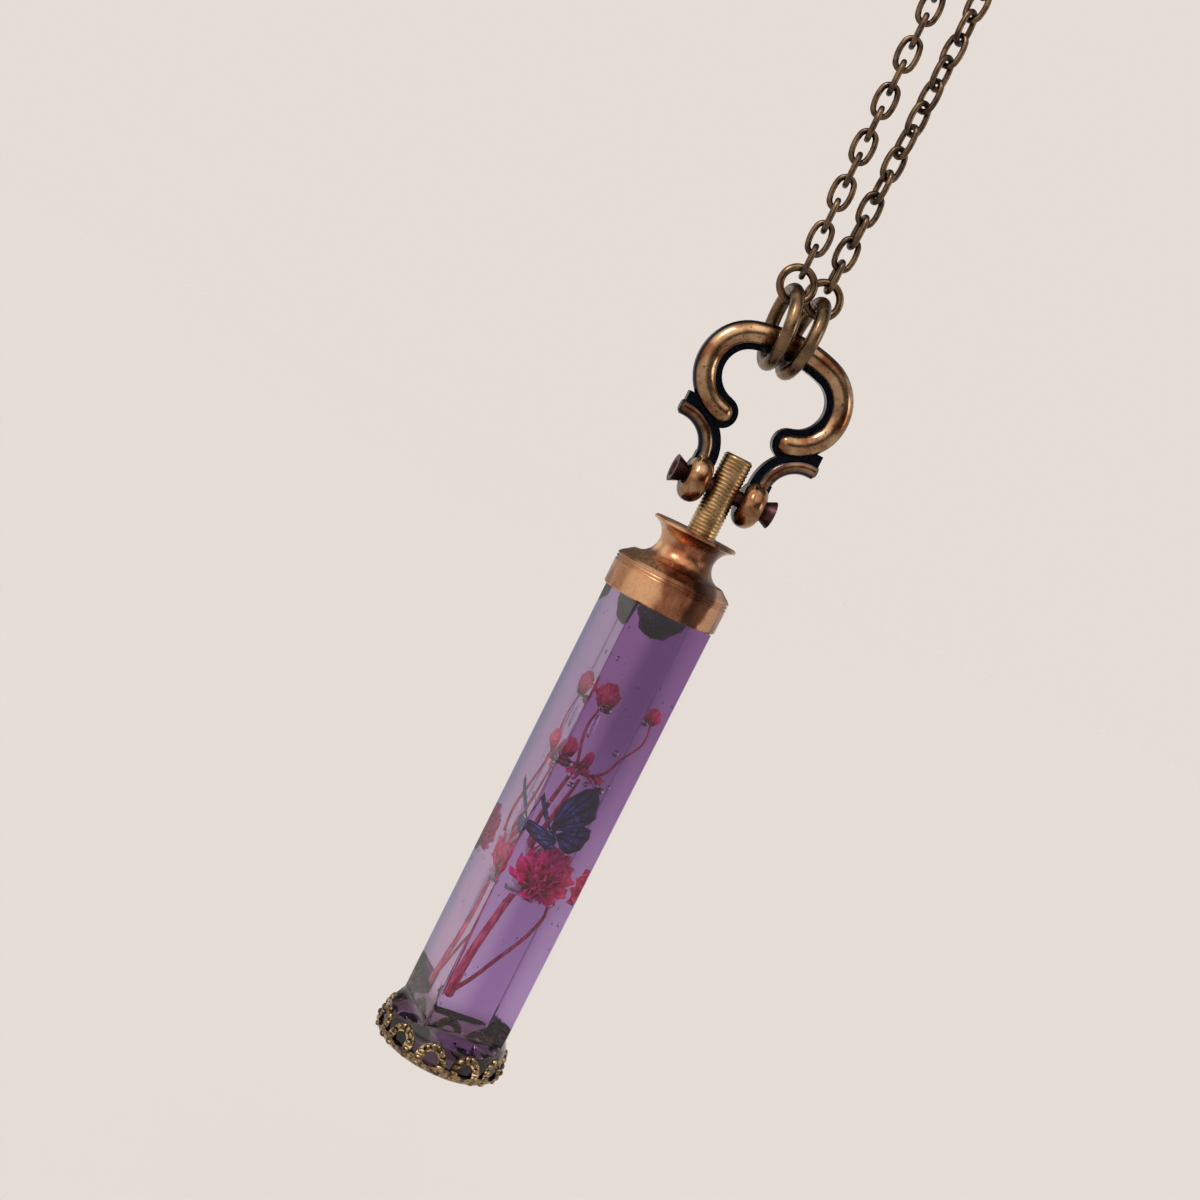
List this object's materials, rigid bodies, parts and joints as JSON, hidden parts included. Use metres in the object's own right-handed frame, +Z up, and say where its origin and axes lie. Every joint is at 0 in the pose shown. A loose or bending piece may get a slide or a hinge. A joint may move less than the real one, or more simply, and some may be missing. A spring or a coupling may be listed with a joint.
{
  "type": "resin pendant necklace",
  "caption": "Hanging necklace: a square violet resin bar with dried flowers and a butterfly cast in, in a brass cap and collar, on a cast bow, jump rings and an oval cable chain.",
  "frame": {"origin": "inside top of the chain's loop, at the middle of its top link's underside, where the necklace rests on what it hangs from", "axes": "+Z up, against the pendant's weight; -Y towards the viewer, the front of the bow; +X to the viewer's right"},
  "size_m": [0.0189, 0.014, 0.3124],
  "materials": {
    "violet_resin": "clear tinted casting resin, polished",
    "antique_bronze": "darkened in its recesses, grains rubbed bright",
    "aged_copper": "turned, worn orange-brown with darker patches",
    "dark_glue": "dark glue with fine bubbles",
    "aged_brass_thread": "fine threaded, spotted with tarnish",
    "dark_bronze": "dark reddish-brown plating, satin",
    "antique_brass": "antique plating, dark in the recesses",
    "dried_petal": "thin magenta petals with a coral edge",
    "dried_stem": "thin dark-red dried stem",
    "dried_bud": "coral-red petals",
    "blue_wing": "dark blue wings with brighter patches"
  },
  "bodies": {
    "loop": {"chain_left": "antique_brass", "chain_right": "antique_brass", "clasp": "antique_brass", "clasp_ring": "antique_brass", "small_ring_left": "antique_brass", "small_ring_right": "antique_brass", "big_ring_left": "antique_brass", "big_ring_right": "antique_brass"},
    "bow": {"bow": "antique_brass", "cross_pin": "dark_bronze"},
    "drop": {"stud": "aged_brass_thread", "collar": "aged_copper", "glue_peg": "dark_glue", "resin_bar": "violet_resin", "bead_cap": "antique_bronze", "flower_head": "dried_petal", "flower_stems": "dried_stem", "bud_top": "dried_bud", "bud_right": "dried_bud", "bud_left": "dried_bud", "butterfly": "blue_wing"}
  },
  "joints": [
    {"name": "bow_swing", "type": "hinge", "parent": "loop", "child": "bow", "pos_m": [0.0011, 0, -0.22917], "axis": [1, 0, 0], "range_deg": [-60, 60]},
    {"name": "stud_hinge", "type": "hinge", "parent": "bow", "child": "drop", "pos_m": [0.0011, 0, -0.24517], "axis": [1, 0, 0], "range_deg": [-110, 110]}
  ]
}
